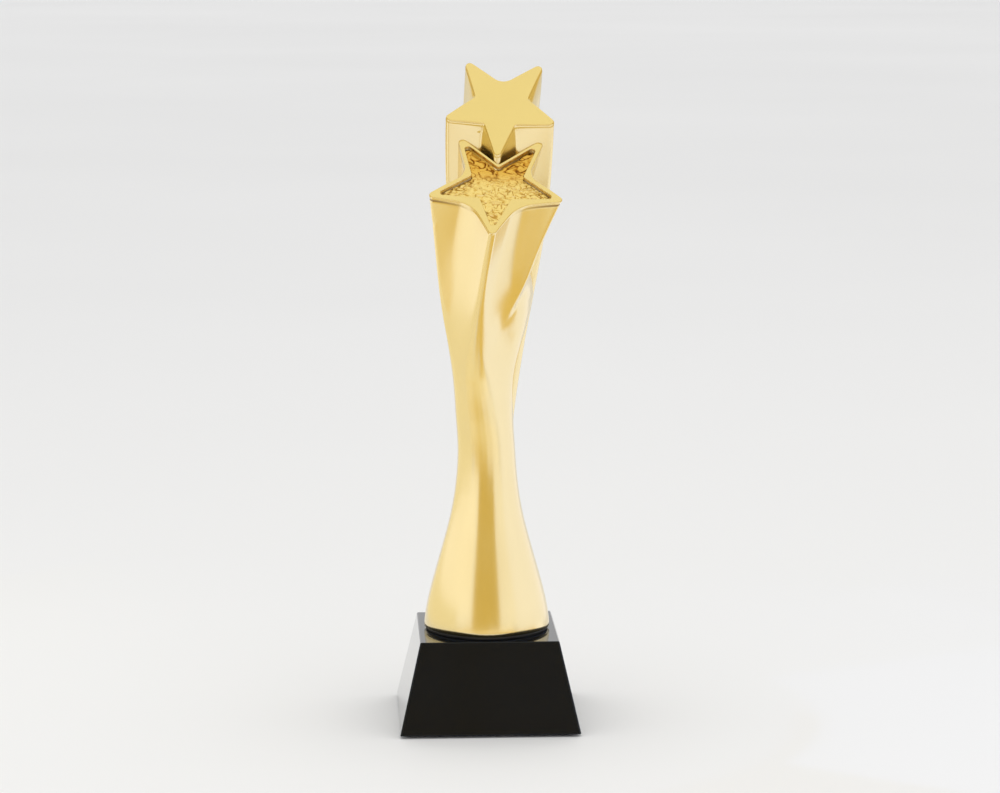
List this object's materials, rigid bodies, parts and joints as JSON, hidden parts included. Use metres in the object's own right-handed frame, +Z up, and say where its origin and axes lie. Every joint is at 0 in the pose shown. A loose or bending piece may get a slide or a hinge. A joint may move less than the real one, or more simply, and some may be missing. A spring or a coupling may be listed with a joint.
{
  "type": "star trophy",
  "caption": "Gold trophy: star-shaped pillars that rise from a waisted column, the front star holding a hammered panel, clamped to a black crystal block.",
  "frame": {"origin": "centre of the base's footprint, on the surface the trophy stands on", "axes": "+Z up, -Y towards the viewer of the star faces, +X to that viewer's right"},
  "size_m": [0.0798, 0.0798, 0.2924],
  "materials": {
    "gold_plate": "cast resin with polished pale gold electroplate",
    "hammered_gold": "hammered, gold washed, darker in the hollows",
    "steel": "zinc plated",
    "insert_brass": "turned",
    "black_rubber": "matt",
    "black_crystal": "black optical crystal, polished all round",
    "fibre": "pressed red fibre",
    "felt": "short black-grey felt"
  },
  "bodies": {
    "root": {"star_column": "gold_plate", "rear_star_column": "gold_plate", "star_panel": "hammered_gold", "column_dowels": "steel", "threaded_insert": "insert_brass", "foot_gasket": "black_rubber", "base_block": "black_crystal", "clamp_stud": "steel", "fibre_washer": "fibre", "steel_washer": "steel", "spring_washer": "steel", "hex_nut": "steel", "base_pad": "felt"}
  },
  "joints": []
}
